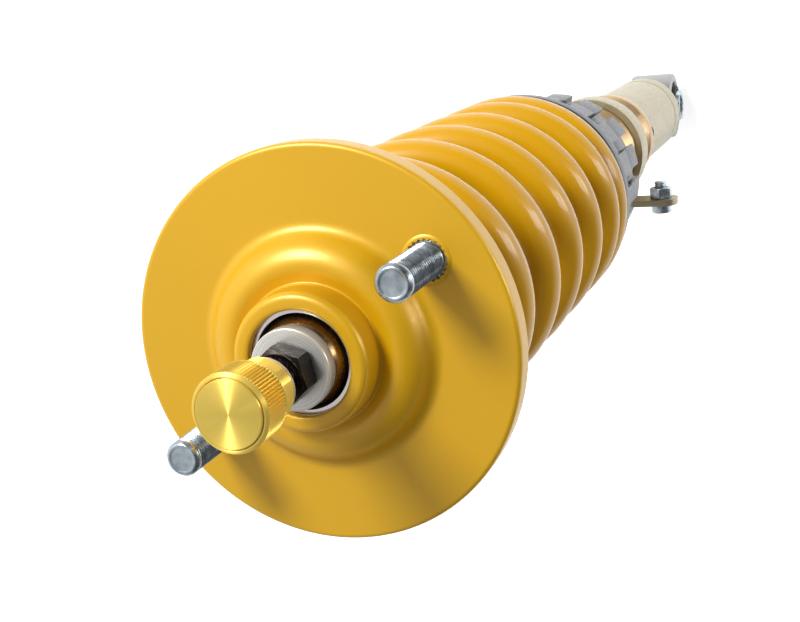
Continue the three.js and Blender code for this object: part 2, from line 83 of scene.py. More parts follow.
MM = 0.001
TAU = 2 * math.pi
scene = bpy.context.scene
scene.view_settings.view_transform = "Standard"


# ---------- sizes read from the frame, in millimetres ----------
def span(node):
    """Lowest and highest corner of a CAD piece's box."""
    low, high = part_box(node)
    return low / MM, high / MM


def bottom(node):
    """Height of a piece's underside."""
    return span(node)[0].z


def top(node):
    """Height of a piece's upper side."""
    return span(node)[1].z


def radius(node):
    """Outer radius of a piece that was turned round the Z axis."""
    return span(node)[1].x


# ---------- meshes ----------
def softened(section, closed, steps):
    """Points of a section whose corners (r, z, reach) are rounded over that reach; (r, z) stays sharp."""
    points = []
    for i, corner in enumerate(section):
        here = Vector(corner[:2])
        if len(corner) < 3 or (not closed and i in (0, len(section) - 1)):
            points.append(here)
            continue
        back = Vector(section[i - 1][:2]) - here
        ahead = Vector(section[(i + 1) % len(section)][:2]) - here
        start = here + back.normalized() * min(corner[2], back.length * 0.49)
        end = here + ahead.normalized() * min(corner[2], ahead.length * 0.49)
        for k in range(steps + 1):
            t = k / steps
            points.append(start * (1 - t) ** 2 + here * 2 * t * (1 - t) + end * t * t)
    return points


def turned(section, count=128, closed=True, steps=4, ripple=None):
    """Mesh of a section turned round Z. An open section starts and ends on the axis.
    ripple(r, z, angle) gives the radius to use in place of r."""
    bm = bmesh.new()
    rings = []
    for r, z in softened(section, closed, steps):
        if r < 1e-6:
            rings.append([bm.verts.new((0, 0, z * MM))] * count)
            continue
        ring = []
        for k in range(count):
            angle = TAU * k / count
            reach = (ripple(r, z, angle) if ripple else r) * MM
            ring.append(bm.verts.new((reach * math.cos(angle), reach * math.sin(angle), z * MM)))
        rings.append(ring)
    following = rings[1:] + rings[:1] if closed else rings[1:]
    for low, high in zip(rings, following):
        for k in range(count):
            j = (k + 1) % count
            corners = list(dict.fromkeys((low[k], low[j], high[j], high[k])))
            if len(corners) > 2:
                bm.faces.new(corners)
    return closed_mesh(bm)


def closed_mesh(bm):
    """Turns a finished bmesh into a mesh with its faces outward."""
    bmesh.ops.recalc_face_normals(bm, faces=bm.faces)
    mesh = bpy.data.meshes.new("piece")
    bm.to_mesh(mesh)
    bm.free()
    return mesh


def cylinder(r, low, high, count):
    """Mesh of a plain cylinder round Z, used to cut bores and holes."""
    return turned([(0, low), (r, low), (r, high), (0, high)], count, closed=False)


def prism(outline, low, high):
    """Mesh of a flat outline of (x, y) points, raised from low to high along Z."""
    bm = bmesh.new()
    rings = [[bm.verts.new((x * MM, y * MM, z * MM)) for x, y in outline] for z in (low, high)]
    for k in range(len(outline)):
        j = (k + 1) % len(outline)
        bm.faces.new((rings[0][k], rings[0][j], rings[1][j], rings[1][k]))
    bm.faces.new(rings[0][::-1])
    bm.faces.new(rings[1])
    return closed_mesh(bm)


def block(low, high):
    """Mesh of a box between two corners."""
    outline = [(low[0], low[1]), (high[0], low[1]), (high[0], high[1]), (low[0], high[1])]
    return prism(outline, low[2], high[2])


def hexagon(across, low, high):
    """Hexagonal prism with two of its corners on the Y axis."""
    corner = across / math.sqrt(3)
    angles = [TAU * (k + 0.5) / 6 for k in range(6)]
    return prism([(corner * math.cos(a), corner * math.sin(a)) for a in angles], low, high)


def placed(mesh, matrix):
    """The mesh itself, moved by a matrix."""
    mesh.transform(matrix)
    return mesh


def at(x, y, z):
    """Shift by a distance in millimetres."""
    return Matrix.Translation(Vector((x, y, z)) * MM)


def about(axis, degrees):
    """Turn about one axis."""
    return Matrix.Rotation(math.radians(degrees), 4, axis)


def modified(mesh, *settings):
    """The mesh after modifiers, each given as (type, {property: value})."""
    holder = bpy.data.objects.new("holder", mesh)
    scene.collection.objects.link(holder)
    for kind, values in settings:
        modifier = holder.modifiers.new(kind, kind)
        for key, value in values.items():
            setattr(modifier, key, value)
    graph = bpy.context.evaluated_depsgraph_get()
    result = bpy.data.meshes.new_from_object(holder.evaluated_get(graph))
    bpy.data.objects.remove(holder)
    return result


def combined(operation, mesh, *others):
    """Boolean DIFFERENCE, UNION or INTERSECT of a mesh with others."""
    tools = [bpy.data.objects.new("tool", other) for other in others]
    for tool in tools:
        scene.collection.objects.link(tool)
    steps = [("BOOLEAN", {"operation": operation, "object": tool, "solver": "EXACT"}) for tool in tools]
    result = modified(mesh, *steps)
    for tool in tools:
        bpy.data.objects.remove(tool)
    return result


def bevelled(mesh, width, segments=2, angle=35):
    """The mesh with edges steeper than the angle rounded to a width in millimetres."""
    values = {
        "width": width * MM, "segments": segments, "limit_method": "ANGLE",
        "angle_limit": math.radians(angle), "harden_normals": False, "use_clamp_overlap": True,
    }
    return modified(mesh, ("BEVEL", values))


def cast(mesh, voxel=0.7, rounds=6):
    """The mesh with its inner corners blended, as a casting has them."""
    remesh = ("REMESH", {"mode": "VOXEL", "voxel_size": voxel * MM})
    return modified(mesh, remesh, ("SMOOTH", {"factor": 0.5, "iterations": rounds}))


def piece(name, mesh, body, slot, nodes, sharp=32):
    """A finished piece that stands for CAD nodes; edges steeper than sharp degrees keep their crease."""
    for polygon in mesh.polygons:
        polygon.use_smooth = True
    mesh.set_sharp_from_angle(angle=math.radians(sharp))
    obj = bpy.data.objects.new(name, mesh)
    mesh.name = name
    scene.collection.objects.link(obj)
    mesh.materials.clear()
    mesh.materials.append(materials[slot])
    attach(obj, body)
    if nodes:
        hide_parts(*nodes)
    return obj


def tube(inner, outer, low, high, edge=0.3, count=128):
    """Mesh of a ring with all four edges rounded alike."""
    section = [(inner, low, edge), (outer, low, edge), (outer, high, edge), (inner, high, edge)]
    return turned(section, count, steps=3)


def rows(r, low, high, step):
    """Section points up a straight wall, close enough together for a thread."""
    count = max(1, round((high - low) / step))
    return [(r, low + (high - low) * k / count) for k in range(count + 1)]


def threaded(crest, pitch, depth, low, high):
    """Ripple of a right-handed thread that fades out over its last turn at each end."""
    def ripple(r, z, angle):
        if r < crest - 1e-6 or not low <= z <= high:
            return r
        ridge = 2 * abs((z / pitch - angle / TAU) % 1 - 0.5)
        flank = min(max(1.25 * ridge - 0.1, 0), 1)
        fade = min((z - low) / pitch, (high - z) / pitch, 1)
        return r - depth * flank * fade
    return ripple


# ---------- materials ----------
def srgb(red, green, blue):
    """Linear colour of an 8-bit display colour."""
    def linear(c):
        return ((c / 255 + 0.055) / 1.055) ** 2.4 if c > 10 else c / 3295

    return linear(red), linear(green), linear(blue), 1.0


RANGE_SOCKETS = ("From Min", "From Max", "To Min", "To Max")


class Finish:
    """A Principled material and the nodes that vary it over the surface."""

    def __init__(self, name, metallic, **sockets):
        self.material = bpy.data.materials.new(name)
        self.material.use_nodes = True
        self.nodes = self.material.node_tree.nodes
        self.links = self.material.node_tree.links
        self.shader = self.nodes["Principled BSDF"]
        self.shader.inputs["Metallic"].default_value = metallic
        for socket, value in sockets.items():
            self.shader.inputs[socket.replace("_", " ")].default_value = value
        self.place = self.nodes.new("ShaderNodeTexCoord").outputs["Object"]
        self.bump = None

    def noise(self, scale, detail=3.0):
        """A noise in all three directions, with about scale lumps to a metre."""
        texture = self.nodes.new("ShaderNodeTexNoise")
        texture.inputs["Scale"].default_value = scale
        texture.inputs["Detail"].default_value = detail
        self.links.new(self.place, texture.inputs["Vector"])
        return texture.outputs["Fac"]

    def distance(self, axes):
        """Distance in metres from the line or plane where the named axes are zero."""
        keep = self.nodes.new("ShaderNodeVectorMath")
        keep.operation = "MULTIPLY"
        keep.inputs[1].default_value = [1.0 if axis in axes else 0.0 for axis in "XYZ"]
        length = self.nodes.new("ShaderNodeVectorMath")
        length.operation = "LENGTH"
        self.links.new(self.place, keep.inputs[0])
        self.links.new(keep.outputs["Vector"], length.inputs[0])
        return length.outputs["Value"]

    def lines(self, axes, pitch):
        """Fine turning marks: a noise that changes only with the distance from an axis."""
        texture = self.nodes.new("ShaderNodeTexNoise")
        texture.noise_dimensions = "1D"
        texture.inputs["Scale"].default_value = 1 / (pitch * MM)
        texture.inputs["Detail"].default_value = 2.0
        self.links.new(self.distance(axes), texture.inputs["W"])
        return texture.outputs["Fac"]

    def edges(self, low, high):
        """1 on convex edges, 0 elsewhere."""
        geometry = self.nodes.new("ShaderNodeNewGeometry")
        return self.ranged(geometry.outputs["Pointiness"], low, high, 0.0, 1.0)

    def ranged(self, value, low, high, to_low, to_high):
        """The value stretched from low...high to to_low...to_high."""
        node = self.nodes.new("ShaderNodeMapRange")
        for socket, number in zip(RANGE_SOCKETS, (low, high, to_low, to_high)):
            node.inputs[socket].default_value = number
        self.links.new(value, node.inputs["Value"])
        return node.outputs["Result"]

    def colour(self, factor, first, second):
        """The base colour runs from the first to the second as the factor goes from 0 to 1."""
        mix = self.nodes.new("ShaderNodeMix")
        mix.data_type = "RGBA"
        colour_sockets = [s for s in mix.inputs if s.type == "RGBA"]
        source = self.shader.inputs["Base Color"]
        if source.is_linked:
            self.links.new(source.links[0].from_socket, colour_sockets[0])
        else:
            colour_sockets[0].default_value = first
        colour_sockets[1].default_value = second
        self.links.new(factor, mix.inputs["Factor"])
        self.links.new([s for s in mix.outputs if s.type == "RGBA"][0], source)

    def roughness(self, value, smooth, rough):
        """The roughness follows the value from smooth to rough."""
        spread = self.ranged(value, 0.3, 0.7, smooth, rough)
        self.links.new(spread, self.shader.inputs["Roughness"])

    def relief(self, value, depth, strength=1.0):
        """Adds a bump of the given depth in millimetres."""
        node = self.nodes.new("ShaderNodeBump")
        node.inputs["Distance"].default_value = depth * MM
        node.inputs["Strength"].default_value = strength
        self.links.new(value, node.inputs["Height"])
        if self.bump:
            self.links.new(self.bump, node.inputs["Normal"])
        self.bump = node.outputs["Normal"]
        self.links.new(self.bump, self.shader.inputs["Normal"])


def plate_gold():
    f = Finish("plate_gold", 0.2, Coat_Weight=0.4, Coat_Roughness=0.3, Specular_IOR_Level=0.45)
    f.colour(f.noise(18, 4), srgb(216, 167, 3), srgb(209, 159, 2))
    f.roughness(f.noise(900, 2), 0.36, 0.46)
    f.relief(f.noise(3200, 2), 0.012, 0.5)
    return f.material


def spring_yellow():
    f = Finish("spring_yellow", 0.0, Coat_Weight=0.45, Coat_Roughness=0.12, Specular_IOR_Level=0.4)
    f.colour(f.noise(25, 3), srgb(220, 164, 2), srgb(212, 156, 1))
    f.roughness(f.noise(400, 2), 0.30, 0.40)
    f.relief(f.noise(420, 2), 0.05, 0.35)
    return f.material


def knob_gold():
    f = Finish("knob_gold", 0.7, Anisotropic=0.95, Anisotropic_Rotation=0.25, Specular_IOR_Level=0.8)
    f.colour(f.noise(60, 3), srgb(255, 224, 112), srgb(252, 218, 98))
    f.roughness(f.lines("XY", 0.12), 0.46, 0.56)
    f.relief(f.lines("XY", 0.10), 0.003, 0.4)
    tangent = f.nodes.new("ShaderNodeTangent")
    tangent.direction_type = "RADIAL"
    tangent.axis = "Z"
    f.links.new(tangent.outputs["Tangent"], f.shader.inputs["Tangent"])
    return f.material


def zinc():
    f = Finish("zinc", 1.0)
    f.colour(f.ranged(f.noise(260, 5), 0.35, 0.65, 0, 1), srgb(196, 206, 214), srgb(150, 162, 170))
    f.roughness(f.noise(700, 4), 0.18, 0.40)
    f.relief(f.noise(1500, 3), 0.01, 0.3)
    return f.material


def bearing_steel():
    f = Finish("bearing_steel", 0.95)
    f.colour(f.noise(90, 3), srgb(240, 232, 228), srgb(226, 218, 214))
    f.roughness(f.noise(500, 3), 0.12, 0.2)
    f.relief(f.lines("XY", 0.15), 0.002, 0.4)
    return f.material


def ball_steel_painted_reflection():
    """The ball, tinted brown-gold as a painted reflection of the gold lip round it."""
    f = Finish("ball_steel_painted_reflection", 1.0)
    # Brown-gold tint: painted reflection of the plate's gold lip.
    f.colour(f.noise(120, 4), srgb(168, 138, 96), srgb(136, 112, 82))
    f.roughness(f.noise(500, 3), 0.2, 0.3)
    f.relief(f.lines("XY", 0.15), 0.002, 0.4)
    return f.material


def washer_steel():
    f = Finish("washer_steel", 0.6)
    f.colour(f.noise(120, 4), srgb(226, 224, 218), srgb(204, 202, 196))
    f.roughness(f.lines("XY", 0.2), 0.22, 0.36)
    f.relief(f.lines("XY", 0.14), 0.006, 0.6)
    return f.material


def black_oxide():
    f = Finish("black_oxide", 0.85)
    f.colour(f.noise(220, 5), srgb(30, 28, 27), srgb(44, 38, 33))
    f.colour(f.edges(0.58, 0.70), srgb(0, 0, 0), srgb(186, 170, 150))
    f.roughness(f.noise(600, 4), 0.22, 0.42)
    f.relief(f.noise(900, 3), 0.015, 0.5)
    return f.material


def black_paint():
    f = Finish("black_paint", 0.6)
    f.colour(f.noise(80, 4), srgb(38, 38, 41), srgb(50, 50, 54))
    f.roughness(f.noise(700, 3), 0.32, 0.48)
    f.relief(f.lines("XY", 0.3), 0.006, 0.5)
    return f.material


def rubber():
    f = Finish("rubber", 0.0, Sheen_Weight=0.15)
    f.colour(f.noise(60, 4), srgb(38, 38, 38), srgb(52, 51, 49))
    f.roughness(f.noise(500, 4), 0.62, 0.85)
    f.relief(f.noise(1200, 4), 0.03, 0.7)
    return f.material


def perch_grey():
    f = Finish("perch_grey", 0.6)
    f.colour(f.noise(50, 3), srgb(76, 82, 90), srgb(62, 67, 74))
    f.roughness(f.noise(800, 3), 0.30, 0.42)
    f.relief(f.lines("XY", 0.25), 0.006, 0.5)
    return f.material


def sleeve_gold():
    f = Finish("sleeve_gold", 0.55)
    f.colour(f.noise(60, 3), srgb(206, 174, 132), srgb(194, 162, 120))
    f.roughness(f.noise(500, 3), 0.28, 0.40)
    f.relief(f.lines("Z", 0.1), 0.004, 0.5)
    return f.material


def body_beige():
    f = Finish("body_beige", 0.6)
    f.colour(f.noise(45, 4), srgb(178, 166, 130), srgb(162, 154, 126))
    f.roughness(f.noise(500, 3), 0.28, 0.44)
    f.relief(f.lines("Z", 0.3), 0.004, 0.5)
    return f.material


def eye_silver():
    f = Finish("eye_silver", 0.9)
    f.colour(f.noise(60, 4), srgb(176, 176, 176), srgb(158, 158, 159))
    f.roughness(f.noise(900, 3), 0.38, 0.52)
    f.relief(f.noise(1600, 3), 0.05, 0.6)
    return f.material


def ptfe():
    f = Finish("ptfe", 0.0)
    f.colour(f.noise(80, 3), srgb(232, 229, 218), srgb(222, 217, 203))
    f.roughness(f.noise(500, 2), 0.35, 0.5)
    f.relief(f.lines("XY", 0.3), 0.005, 0.4)
    return f.material


def liner_black():
    # Near-black: the liner's own dark colour, and also painted shade for the narrow gap between race and
    # ball.
    f = Finish("liner_black", 0.0)
    f.colour(f.noise(300, 3), srgb(26, 26, 26), srgb(38, 37, 36))
    f.roughness(f.noise(900, 3), 0.55, 0.75)
    f.relief(f.noise(2200, 2), 0.03, 0.6)
    return f.material


def band_bronze():
    f = Finish("band_bronze", 0.1)
    f.colour(f.noise(400, 4), srgb(152, 112, 62), srgb(122, 88, 50))
    f.roughness(f.noise(700, 3), 0.45, 0.65)
    f.relief(f.noise(1800, 3), 0.02, 0.5)
    return f.material


makers = (
    plate_gold, spring_yellow, knob_gold, zinc, bearing_steel, washer_steel, black_oxide, black_paint,
    rubber, perch_grey, sleeve_gold, body_beige, eye_silver, ptfe, liner_black, band_bronze,
)
materials = {maker.__name__: maker() for maker in makers}


# ---------- camera ----------
def look(position, right, up, lens):
    """Camera at a position in mm, whose picture has the given right and up directions."""
    right, up = Vector(right).normalized(), Vector(up)
    back = right.cross(up).normalized()
    up = back.cross(right)
    camera = bpy.data.objects.new("camera", bpy.data.cameras.new("camera"))
    camera.data.lens = lens
    camera.data.sensor_width = 36
    camera.data.clip_start = 0.01
    camera.data.clip_end = 50
    facing = Matrix((right, up, back)).transposed().to_4x4()
    camera.matrix_world = Matrix.Translation(Vector(position) * MM) @ facing
    scene.collection.objects.link(camera)
    scene.camera = camera
    return right, up, back


view_right, view_up, view_back = look(
    position=(143.06, 91.64, 306.3),
    right=(0.93563, -0.09717, -0.33936),
    up=(0.00609, 0.96568, -0.25969),
    lens=59.12,
)


# ---------- top mount ----------
stud_low, stud_high = span("stud_a")
stud_place = (stud_low + stud_high) / 2
stud_head_r = (stud_high.x - stud_low.x) / 2
stud_neck_r = stud_head_r - 1.9
stud_r = stud_head_r - 2.5
tight_r = stud_r + 0.2
race_inner = 14.2
race_r = radius("bearing_race")
thread_r = 5
thread_bore = thread_r + 0.3
SERRATIONS = 22
SERRATION_DEPTH = 0.5


def top_plate():
    """The plate: a folded rim, a raised centre round the bearing, and a burr round each stud."""
    low, high = span("top_plate")
    rim_r, lip_z, rim_low = high.x, high.z, low.z
    under = -4.0
    bearing_r = race_r + 0.3
    hub_r = bearing_r + 3.2
    foot = hub_r + 10.5
    rim_inner = rim_r - 3.5
    seat_z = top("bearing_race") + 0.3
    valley_r = bearing_r + 1.9
    clip_low, clip_high = bottom("bearing_circlip") - 0.3, top("bearing_circlip") + 0.3
    hub_low = clip_low - 1.5
    section = [
        (bearing_r, hub_low, 0.3), (hub_r, hub_low, 0.8), (hub_r, under + 1, 1.5), (foot, under, 2),
        (rim_inner, under, 2), (rim_inner, rim_low, 0.4), (rim_r, rim_low, 0.5), (rim_r, 0, 1.5),
        (foot + 1, 0, 2.6), (foot - 1.8, 5.1, 4), (foot - 6.9, 7.6, 4), (valley_r, 5.7, 0.9),
        (valley_r - 0.4, lip_z, 2.2), (race_inner, lip_z, 1.7), (race_inner, seat_z, 0.1),
        (bearing_r, seat_z), (bearing_r, clip_high), (bearing_r + 1, clip_high), (bearing_r + 1, clip_low),
        (bearing_r, clip_low),
    ]
    mesh = turned(section, 256, steps=14)
    burr_r, hole_r = stud_neck_r + 1.4, stud_neck_r + 0.15
    notches = broached(tight_r, SERRATIONS, SERRATION_DEPTH)
    for sign in (1, -1):
        place = at(sign * stud_place.x, sign * stud_place.y, 0)
        burr = turned([
            (stud_r, -1), (burr_r, -1), (burr_r, -0.05, 0.2), (stud_neck_r + 0.6, 0.3, 0.3), (stud_r, 0.3),
        ], 120)
        hole = turned([
            (0, -9), (hole_r, -9), (hole_r, -0.6), (tight_r, -0.6), (tight_r, -0.1), (tight_r + 0.4, 0.5),
            (0, 0.5),
        ], SERRATIONS * 6, closed=False, ripple=notches)
        mesh = combined("UNION", mesh, placed(burr, place))
        mesh = combined("DIFFERENCE", mesh, placed(hole, place))
    piece("top_plate_finish", mesh, "root", "plate_gold", ["top_plate"], sharp=15)


def broached(tight_r, teeth, depth):
    """Ripple of the notches that a serrated neck leaves round the narrow end of its hole."""
    def ripple(r, z, angle):
        if z < -0.65 or r < tight_r - 0.01:
            return r
        return r + depth * max(0, 1 - 3.2 * abs(angle / TAU * teeth % 1 - 0.5))
    return ripple


def serrated(teeth, depth, high):
    """Ripple of straight serrations on the neck of a stud, below the height high."""
    def ripple(r, z, angle):
        if z > high or r < stud_neck_r - 0.01 or r > stud_neck_r + 0.01:
            return r
        return r - depth * abs(2 * (angle / TAU * teeth % 1) - 1)
    return ripple


def stud(name, sign):
    """A stud with a head under the plate, a serrated neck in it and a thread above."""
    low, high = stud_low.z, stud_high.z
    head_top, neck_top = low + 2.2, -0.75
    pitch, depth = 1.25, 0.85
    thread_low, thread_high = 0.2, high - 1.2
    teeth = serrated(SERRATIONS, SERRATION_DEPTH, neck_top)
    screw = threaded(stud_r, pitch, depth, thread_low, thread_high)
    section = [
        (0, low), (stud_head_r, low, 0.5), (stud_head_r, head_top, 0.5), (stud_neck_r, head_top),
        (stud_neck_r, neck_top), (stud_r - 0.2, neck_top + 0.1),
        *rows(stud_r, thread_low, thread_high, pitch / 8), (stud_r, high - 0.9, 0.1),
        (stud_r - 0.8, high, 0.3), (stud_r - 1.3, high - 0.02, 0.2), (stud_r - 1.7, high - 0.2, 0.3),
        (0, high - 0.3),
    ]

    def ripple(r, z, angle):
        return teeth(screw(r, z, angle), z, angle)

    mesh = turned(section, 156, closed=False, steps=3, ripple=ripple)
    placed(mesh, at(sign * stud_place.x, sign * stud_place.y, 0))
    piece(name + "_finish", mesh, "root", "zinc", [name], sharp=50)


def spherical(r, half, centre, count=14):
    """Section points up a sphere of radius r, from half below its centre to half above."""
    lift = math.asin(half / r)
    angles = [-lift + 2 * lift * k / count for k in range(count + 1)]
    return [(r * math.cos(a), centre + r * math.sin(a)) for a in angles]


def bearing():
    """The race in the plate, the liner that turns in it, and the ball on the rod."""
    low, high = bottom("bearing_race"), top("bearing_race")
    centre = (low + high) / 2
    ball_r = race_inner - 0.85
    ball_half = (top("bearing_ball") - bottom("bearing_ball")) / 2
    liner_half = (top("bearing_liner") - bottom("bearing_liner")) / 2
    inside = spherical(race_inner, high - centre, centre)
    race = turned([*inside[::-1], (race_r, low, 0.4), (race_r, high, 0.4)], 192)
    piece("bearing_race_finish", race, "root", "bearing_steel", ["bearing_race"])
    outside = spherical(race_inner - 0.3, liner_half, centre)
    lining = spherical(race_inner - 0.7, liner_half, centre)
    liner = turned([*outside, *lining[::-1]], 160)
    # The liner's black also paints the shade in the gap between race and ball.
    piece("bearing_liner_finish", liner, "liner", "liner_black", ["bearing_liner"])
    ball = turned([
        (thread_bore, centre - ball_half), *spherical(ball_r, ball_half, centre, 24),
        (thread_bore, centre + ball_half),
    ], 160)
    ball = piece("bearing_ball_finish", ball, "ball", "bearing_steel", ["bearing_ball"])
    # The ball's brown-gold colour is a painted reflection of the plate's gold lip.
    ball.data.materials[0] = ball_steel_painted_reflection()


def circlip(name, node, body, slot, hole_low, inner, gap):
    """A wire clip: a ring with an opening on its -X side."""
    outer = radius(node)
    ring = tube(inner, outer, bottom(node), top(node), 0.15, 128)
    opening = block((-outer - 2, -gap / 2, bottom(node) - 1), (-hole_low, gap / 2, top(node) + 1))
    piece(name, combined("DIFFERENCE", ring, opening), body, slot, [node])


# ---------- on top of the rod ----------
def top_nut():
    """The nut on the rod. Its faces are cut fine so that its edges can show wear."""
    low, high = bottom("top_nut"), top("top_nut")
    turn, chamfer = 12, 0.8
    corner = span("top_nut")[1].x / math.cos(math.radians(30 - turn))
    across = corner * math.sqrt(3)
    blank = hexagon(across, low, high)
    cone = turned([
        (0, low), (across / 2 - 0.2, low), (corner + 0.1, low + chamfer), (corner + 0.1, high - chamfer),
        (across / 2 - 0.4, high), (0, high),
    ], 128, closed=False)
    bore = cylinder(thread_bore, low - 1, high + 1, 96)
    mesh = combined("DIFFERENCE", combined("INTERSECT", blank, cone), bore)
    placed(mesh, about("Z", turn))
    fine = ("SUBSURF", {"subdivision_type": "SIMPLE", "levels": 4})
    mesh = modified(bevelled(mesh, 0.15, 2, 25), ("TRIANGULATE", {}), fine)
    piece("top_nut_finish", mesh, "rod", "black_oxide", ["top_nut"], sharp=28)


def top_washer():
    """The washer between the nut and the ball."""
    low, high = bottom("top_washer"), top("top_washer")
    r = radius("top_washer")
    mesh = turned([(thread_bore, low), (r, low, 0.5), (r, high, 0.45), (thread_bore, high, 0.2)], 160)
    piece("top_washer_finish", mesh, "rod", "washer_steel", ["top_washer"])


def housing():
    """The six-sided collar under the knob, round at its foot, with a thin washer below it."""
    low, high = bottom("adjuster_housing"), top("adjuster_housing")
    across, r = span("adjuster_housing")[1].x * 2, span("adjuster_housing")[1].y
    hex_low = low + 1.3
    foot_r, needle_bore, roof = across / 2 - 0.3, 2.4, high - 1.7
    blank = turned([(0, low), (r - 0.5, low), (r, low + 0.5), (r, high), (0, high)], 128, closed=False)
    body = combined("INTERSECT", hexagon(across, low, high), blank)
    ring = turned([(0, low), (foot_r, low, 0.2), (foot_r, hex_low), (0, hex_low)], 128, closed=False)
    hollow = turned([
        (0, low - 1), (thread_bore, low - 1), (thread_bore, roof), (needle_bore, roof),
        (needle_bore, high + 1), (0, high + 1),
    ], 96, closed=False)
    cutter = combined("DIFFERENCE", block((-12, -12, low - 1), (12, 12, hex_low)), ring)
    mesh = combined("DIFFERENCE", body, hollow, cutter)
    mesh = bevelled(mesh, 0.15, 2, 30)
    piece("adjuster_housing_finish", mesh, "rod", "knob_gold", ["adjuster_housing"], sharp=28)
    washer = tube(thread_bore, r - 0.6, low - 0.75, low - 0.1, 0.15)
    piece("adjuster_washer_finish", washer, "rod", "washer_steel", [])


def knurled(crest, teeth, depth, low, high):
    """Ripple of a straight knurl between two heights, run out at its ends."""
    def ripple(r, z, angle):
        if r < crest - 0.05 or not low <= z <= high:
            return r
        run_out = min((z - low) / 0.5, (high - z) / 0.5 + 0.5, 1)
        return r - depth * run_out * abs(2 * (angle / TAU * teeth % 1) - 1) ** 1.3
    return ripple


def knob():
    """The knob: a knurled band, a rounded shoulder and a turned face set into it."""
    low, high = bottom("adjuster_knob"), top("adjuster_knob")
    r = radius("adjuster_knob")
    face_r, shaft_hole, bore = r - 1.4, 2.1, 5
    teeth = 72
    knurl_low, knurl_high = low + 1.1, high - 1.1
    section = [
        (0, high - 3), (shaft_hole, high - 3), (shaft_hole, low + 3), (bore, low + 3), (bore, low, 0.2),
        (r - 0.6, low, 0.4), (r - 0.25, low + 0.5, 0.3), (r - 0.25, knurl_low - 0.4, 0.2),
        (r - 0.6, knurl_low - 0.2, 0.1), *rows(r, knurl_low, knurl_high, 0.5), (r - 0.1, high - 1.0, 0.3),
        (face_r + 0.5, high - 0.35, 0.5), (face_r + 0.2, high - 0.6, 0.2), (face_r + 0.2, high - 1.5),
        (face_r, high - 1.5), (face_r, high, 0.3), (0, high),
    ]
    ripple = knurled(r, teeth, 0.8, knurl_low, knurl_high)
    mesh = turned(section, teeth * 6, closed=False, steps=3, ripple=ripple)
    piece("adjuster_knob_finish", mesh, "knob", "knob_gold", ["adjuster_knob"], sharp=40)


# ---------- rod, upper seat, bump stop ----------
def rod():
    """The rod: a polished shaft with a tail for the piston, and the thread on its upper end."""
    low, high = bottom("piston_rod"), top("piston_rod")
    r, bore = radius("piston_rod"), 2.2
    tail_r, tail_top = 4, bottom("rebound_bumper")
    shoulder = top("bump_stop")
    thread_low = top("top_washer") + 1
    shaft = turned([
        (bore, low), (tail_r, low, 0.5), (tail_r, tail_top), (r, tail_top, 0.6), (r, shoulder, 0.5),
        (thread_r, shoulder), (thread_r, thread_low), (bore, thread_low),
    ], 128)
    piece("piston_rod_shaft", shaft, "rod", "bearing_steel", ["piston_rod"])
    pitch = 1.5
    section = [
        (bore, thread_low), *rows(thread_r, thread_low + 0.01, high - 1.2, pitch / 8),
        (thread_r - 1, high), (bore, high),
    ]
    screw = threaded(thread_r, pitch, 0.8, thread_low - 2, high + 2)
    piece("piston_rod_thread", turned(section, 128, ripple=screw), "rod", "black_oxide", [], sharp=50)


def upper_seat():
    """The spring's upper seat and the slippery washer that the spring turns on."""
    low, high = bottom("upper_spring_seat"), top("upper_spring_seat")
    r, bore = radius("upper_spring_seat"), thread_bore
    under = top("thrust_washer") + 0.3
    boss = 32
    section = [
        (bore, low, 0.4), (12, low, 1), (14, under, 2.5), (25, under, 2), (26, low, 0.8),
        (boss, low, 1.6), (boss, under, 0.8), (r, under, 0.5), (r, high, 0.9), (16, high, 1),
        (14, high - 0.6, 0.6), (bore, high - 0.6, 0.3),
    ]
    piece("upper_spring_seat_finish", turned(section, 192), "rod", "black_paint", ["upper_spring_seat"])
    washer_low, washer_high = bottom("thrust_washer"), top("thrust_washer")
    washer = tube(boss + 0.3, radius("thrust_washer"), washer_low, washer_high, 0.25, 192)
    piece("thrust_washer_finish", washer, "rod", "ptfe", ["thrust_washer"])


def spacer_and_cup():
    """The spacer under the ball, and the cup that holds the bump stop."""
    low, high = bottom("lower_spacer"), top("lower_spacer")
    foot_r, neck_r = 9.5, 8.6
    spacer = turned([
        (thread_bore, low), (foot_r, low, 0.6), (foot_r, high - 4, 0.3), (neck_r, high - 3, 0.3),
        (neck_r, high, 0.5), (thread_bore, high),
    ], 96)
    piece("lower_spacer_finish", spacer, "rod", "zinc", ["lower_spacer"])
    r, low, high = radius("bump_stop_cup"), bottom("bump_stop_cup"), top("bump_stop_cup")
    cup = turned([
        (thread_bore, low), (r - 0.8, low, 0.3), (r, low, 0.4), (r, high, 0.5), (thread_bore, high),
    ], 128)
    piece("bump_stop_cup_finish", cup, "rod", "zinc", ["bump_stop_cup"])


def bump_stop():
    """The rubber stop, waisted twice so that it folds up under load."""
    low, high = bottom("bump_stop"), top("bump_stop")
    r, waist, bore = radius("bump_stop"), 17.5, 7.3
    length = high - low

    def up(share):
        """Height at a share of the stop's length."""
        return low + share * length

    section = [
        (bore, low, 0.8), (waist - 4, low, 2.5), (waist, up(0.125), 3), (waist - 2.5, up(0.26), 2.6),
        (waist + 2, up(0.45), 4), (waist - 1, up(0.63), 2.6), (r, up(0.8), 4), (r, high, 0.8),
        (bore, high),
    ]
    piece("bump_stop_finish", turned(section, 128, steps=8), "rod", "rubber", ["bump_stop"])


# ---------- spring ----------
SPRING = {"wire_r": 6.0, "pitch": 33.0, "phase": 36.0, "closed_gap": 0.4, "ground": 0.6}


